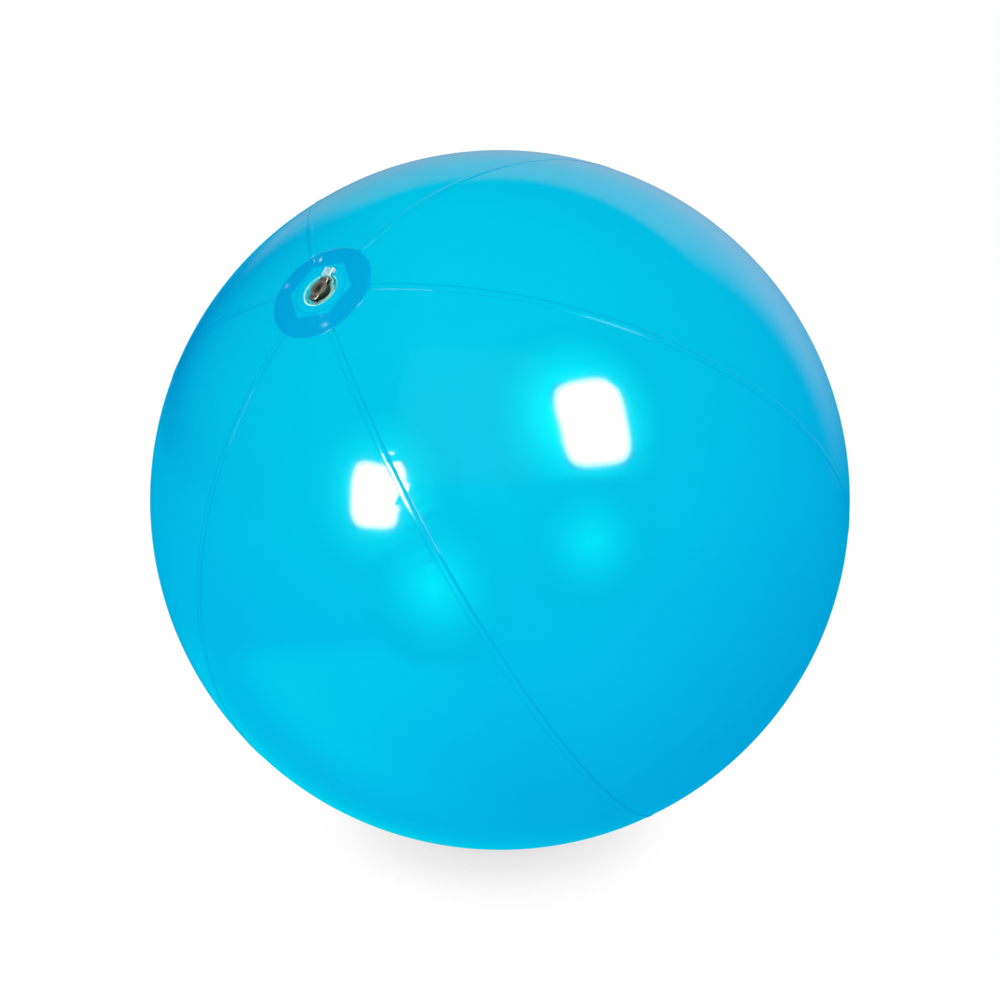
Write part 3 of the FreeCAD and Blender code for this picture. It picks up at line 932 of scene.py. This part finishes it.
def reflected_card(name, azimuth, elevation, roll, width, height, distance, material,
                   cuts=(0.2,) * 4):
    """A lit card that the ball's gloss mirrors towards the camera from one direction.

    The direction is from the ball, and width, height and roll are angles as the ball sees them.
    cuts is how far each corner is cut off, as a share of half a side.
    """
    towards = direction(VIEW_AZIMUTH + azimuth, elevation)
    mirror_point = CENTRE + BALL_RADIUS * (towards + TO_CAMERA).normalized()
    mesh = bpy.data.meshes.new(name)
    outline = []
    for (x, y), cut in zip(((-1, -1), (1, -1), (1, 1), (-1, 1)), cuts):
        before, after = (x, y - y * cut, 0), (x - x * cut, y, 0)
        outline.extend([before, after] if x * y > 0 else [after, before])
    mesh.from_pydata(outline, [], [tuple(range(8))])
    card = bpy.data.objects.new(name, mesh)
    card.location = mirror_point + towards * distance
    turn = (mirror_point - card.location).to_track_quat("-Z", "Y")
    card.rotation_euler = (turn.to_matrix() @ Matrix.Rotation(roll, 3, "Z")).to_euler()
    card.scale = (distance * math.tan(width / 2), distance * math.tan(height / 2), 1.0)
    mesh.materials.append(material)
    bpy.context.scene.collection.objects.link(card)
    for ray in ("camera", "diffuse", "transmission", "volume_scatter", "shadow"):
        setattr(card, "visible_" + ray, False)
    return card


def soft_light(name, azimuth, elevation, size, power, colour, distance=1.3):
    """A large soft light that shades the ball but doesn't show in its gloss."""
    data = bpy.data.lights.new(name, "AREA")
    data.shape = "SQUARE"
    data.size = size
    data.energy = power
    data.color = colour
    obj = bpy.data.objects.new(name, data)
    obj.location = CENTRE + direction(VIEW_AZIMUTH + azimuth, elevation) * distance
    aim(obj, CENTRE)
    obj.visible_glossy = False
    bpy.context.scene.collection.objects.link(obj)


def floor():
    """A plain white floor that glows white, with the ball's soft contact shadow painted into the
    glow by ambient occlusion.
    """
    mesh = bpy.data.meshes.new("floor")
    reach = 12.0
    corners = [(-reach, -reach, 0), (reach, -reach, 0), (reach, reach, 0), (-reach, reach, 0)]
    mesh.from_pydata(corners, [], [(0, 1, 2, 3)])
    obj = bpy.data.objects.new("floor", mesh)
    bpy.context.scene.collection.objects.link(obj)
    material = emitter("floor_paper", (1.0, 1.0, 1.0), 1.0)
    nodes, links = material.node_tree.nodes, material.node_tree.links
    # Painted shadow: the glow dims where ambient occlusion finds the ball.
    occlusion = nodes.new("ShaderNodeAmbientOcclusion")
    occlusion.samples = 16
    occlusion.inputs["Distance"].default_value = 3.0 * BALL_RADIUS
    level = remapped(material, occlusion.outputs["AO"], 0.05, 0.33, 0.71, 1.02)
    links.new(level, nodes["Emission"].inputs["Strength"])
    mesh.materials.append(material)
    for ray in ("glossy", "diffuse", "transmission", "shadow"):
        setattr(obj, "visible_" + ray, False)


def world():
    """White behind the ball, even light on it, and for its gloss a dark studio.

    The gloss sees a pale wall behind the ball, a lit floor in front and at the lower left, and
    elsewhere the film's own colour. This is made for one view of the ball.
    """
    scene_world = bpy.data.worlds.new("studio")
    bpy.context.scene.world = scene_world
    scene_world.use_nodes = True
    nodes, links = scene_world.node_tree.nodes, scene_world.node_tree.links
    nodes.clear()

    def math_node(operation, first, second=None):
        node = nodes.new("ShaderNodeMath")
        node.operation = operation
        for socket, value in zip(node.inputs, (first, second)):
            if value is None:
                continue
            if isinstance(value, (int, float)):
                socket.default_value = value
            else:
                links.new(value, socket)
        return node.outputs["Value"]

    def dot(vector):
        node = nodes.new("ShaderNodeVectorMath")
        node.operation = "DOT_PRODUCT"
        links.new(coordinates.outputs["Generated"], node.inputs[0])
        node.inputs[1].default_value = vector
        return node.outputs["Value"]

    def step(value, low, high):
        node = nodes.new("ShaderNodeMapRange")
        node.interpolation_type = "SMOOTHSTEP"
        node.inputs["From Min"].default_value = low
        node.inputs["From Max"].default_value = high
        links.new(value, node.inputs["Value"])
        return node.outputs["Result"]

    def background(colour, strength):
        node = nodes.new("ShaderNodeBackground")
        node.inputs["Color"].default_value = colour + (1.0,)
        if isinstance(strength, float):
            node.inputs["Strength"].default_value = strength
        else:
            links.new(strength, node.inputs["Strength"])
        return node.outputs["Background"]

    def mix(factor, first, second):
        node = nodes.new("ShaderNodeMixShader")
        links.new(factor, node.inputs["Fac"])
        links.new(first, node.inputs[1])
        links.new(second, node.inputs[2])
        return node.outputs["Shader"]

    def added(first, second):
        node = nodes.new("ShaderNodeAddShader")
        links.new(first, node.inputs[0])
        links.new(second, node.inputs[1])
        return node.outputs["Shader"]

    def times(first, second):
        return math_node("MULTIPLY", first, second)

    def plus(first, second):
        return math_node("ADD", first, second)

    coordinates = nodes.new("ShaderNodeTexCoord")
    path = nodes.new("ShaderNodeLightPath")
    output = nodes.new("ShaderNodeOutputWorld")

    back = -direction(VIEW_AZIMUTH, 0.0)
    side = back.cross(Vector((0, 0, 1)))
    behind = dot(back)
    upward = dot((0.0, 0.0, 1.0))
    to_left = times(dot(side), -1.0)

    # The wall is flat: its edges are at fixed ratios to the distance straight back. It reaches
    # further to the right, where it fades out slowly and stands a little higher.
    depth = math_node("MAXIMUM", behind, 0.01)
    across = math_node("DIVIDE", dot(side), depth)
    height = math_node("DIVIDE", upward, depth)
    within_width = times(step(across, 1.45, 0.75), step(across, -0.68, -0.40))
    below_top = step(plus(height, times(across, -0.25)), 1.20, 0.95)
    # Its foot is hidden, higher up towards the left, and fades out slowly.
    above_foot = times(step(plus(height, times(across, 0.45)), -0.02, 0.14),
                       step(height, -0.22, 0.42))
    wall = times(times(times(within_width, below_top), above_foot), step(behind, 0.0, 0.1))
    wall_level = times(wall, plus(0.62, times(to_left, -0.46)))

    # The lit floor in front shows towards the left; behind, only at the lower left.
    in_front = times(step(upward, -0.50, -0.60), step(behind, 0.45, -0.10))
    on_floor = times(in_front, step(to_left, -0.15, 0.75))
    floor_behind = times(step(upward, -0.36, -0.50), step(behind, 0.3, 0.8))
    floor_behind = times(times(floor_behind, step(to_left, -0.35, 0.25)), 0.28)

    # At grazing angles the film shows its own colour: it is brighter over the floor and to the
    # left, but for a dark band that stands beside the wall, to its left.
    below = times(step(upward, 0.1, -0.6), plus(0.16, times(to_left, 0.30)))
    dark = times(step(to_left, 0.30, 0.50), step(upward, -0.12, 0.06))
    film_glow = times(math_node("SUBTRACT", 1.0, wall), plus(0.92, below))
    film_glow = times(film_glow, math_node("SUBTRACT", 1.0, dark))

    gloss = background((0.66, 0.72, 0.86), wall_level)
    for colour, level in (
            ((0.0, 1.0, 0.55), times(on_floor, 1.5)),
            ((0.0, 0.40, 0.70), film_glow),
            ((0.0, 1.0, 0.38), floor_behind),
            ((0.0, 0.0, 0.38), dark)):
        gloss = added(gloss, background(colour, level))

    # Diffuse light is a little stronger from below, off the floor.
    slope = plus(times(to_left, -0.02), times(upward, -0.11))
    shade = background((0.97, 0.97, 1.09), plus(0.78, slope))
    lit = mix(path.outputs["Is Glossy Ray"], shade, gloss)
    shown = mix(path.outputs["Is Camera Ray"], lit, background((1.0, 1.0, 1.0), 1.0))
    links.new(shown, output.inputs["Surface"])


def studio():
    """The cards, lights, floor, world and camera, for one view of the ball."""
    degrees = math.radians
    white = emitter("softbox", (1.0, 1.0, 1.0), 30.0, soft_rim=0.6)
    for name, azimuth, elevation, roll, width, height, cuts in (
            ("softbox_left", -37.5, 11.5, 3, 17.5, 20.5, (0.2,) * 4),
            ("softbox_right", 32.6, 32.8, -3, 22.5, 27.5, (0.2, 0.2, 0.45, 0.2))):
        reflected_card(name, degrees(azimuth), degrees(elevation), degrees(roll), degrees(width),
                       degrees(height), 1.5, white, cuts)
    for name, azimuth, elevation, width, height, strength in (
            ("glow_low_left", -19.0, -13.5, 44, 50, 8.5),
            ("glow_low_right", 26.7, -0.8, 42, 40, 8.0),
            ("glow_round_left", -37.2, 11.8, 50, 54, 14.0),
            ("glow_round_right", 29.0, 35.0, 58, 60, 22.0)):
        glow = emitter(name, (0.0, 0.95, 0.62), strength, soft=True)
        reflected_card(name, degrees(azimuth), degrees(elevation), 0.0, degrees(width),
                       degrees(height), 1.6, glow, (0.5,) * 4)
    spark = emitter("spark", (0.8, 1.0, 1.0), 18.0, soft=True)
    for name, azimuth, elevation, width, height in (
            ("spark_rim", -88.4, 45.8, 1.2, 2.6), ("spark_hexagon", -94.2, 46.2, 1.0, 1.9),
            ("spark_top", -126.3, 43.1, 1.0, 2.0), ("spark_left", -121.9, 37.2, 0.8, 1.2)):
        reflected_card(name, degrees(azimuth), degrees(elevation), degrees(-35), degrees(width),
                       degrees(height), 1.6, spark)
    soft_light("key", degrees(-10), degrees(36), 0.9, 9.0, (0.85, 1.0, 0.42))
    soft_light("bounce", degrees(-125), degrees(-55), 0.5, 7.0, (0.4, 1.0, 0.22))
    floor()
    world()
    camera()
    bpy.context.scene.view_settings.view_transform = "Standard"


studio()
